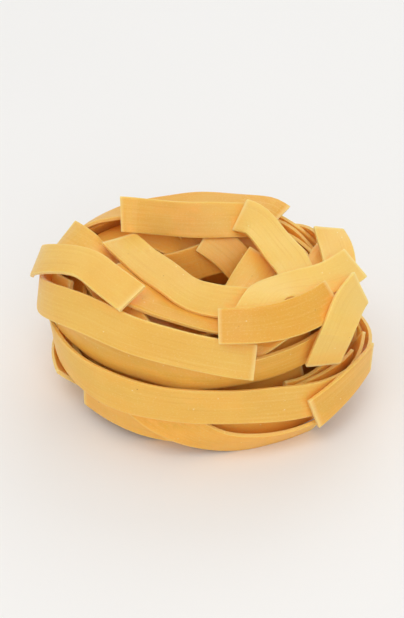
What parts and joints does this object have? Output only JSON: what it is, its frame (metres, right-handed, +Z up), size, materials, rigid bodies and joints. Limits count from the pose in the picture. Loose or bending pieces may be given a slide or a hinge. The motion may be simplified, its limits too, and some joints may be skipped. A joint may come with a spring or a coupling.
{
  "type": "dry pasta nest",
  "caption": "Dried nest of flat egg-yellow pasta ribbons wound into an oval ring with an open hollow, cut ends showing, resting flat.",
  "frame": {"origin": "centre of the bounding box's bottom face, on the surface that the nest rests on", "axes": "+X along the oval's long way, to the right of the pictured side; +Y away from the pictured side; +Z up, out of the hollow"},
  "size_m": [0.0732, 0.0604, 0.0398],
  "materials": {
    "pasta": "satin dried semolina pasta, slightly translucent"
  },
  "bodies": {
    "root": {"pasta_nest": "pasta"}
  },
  "joints": []
}
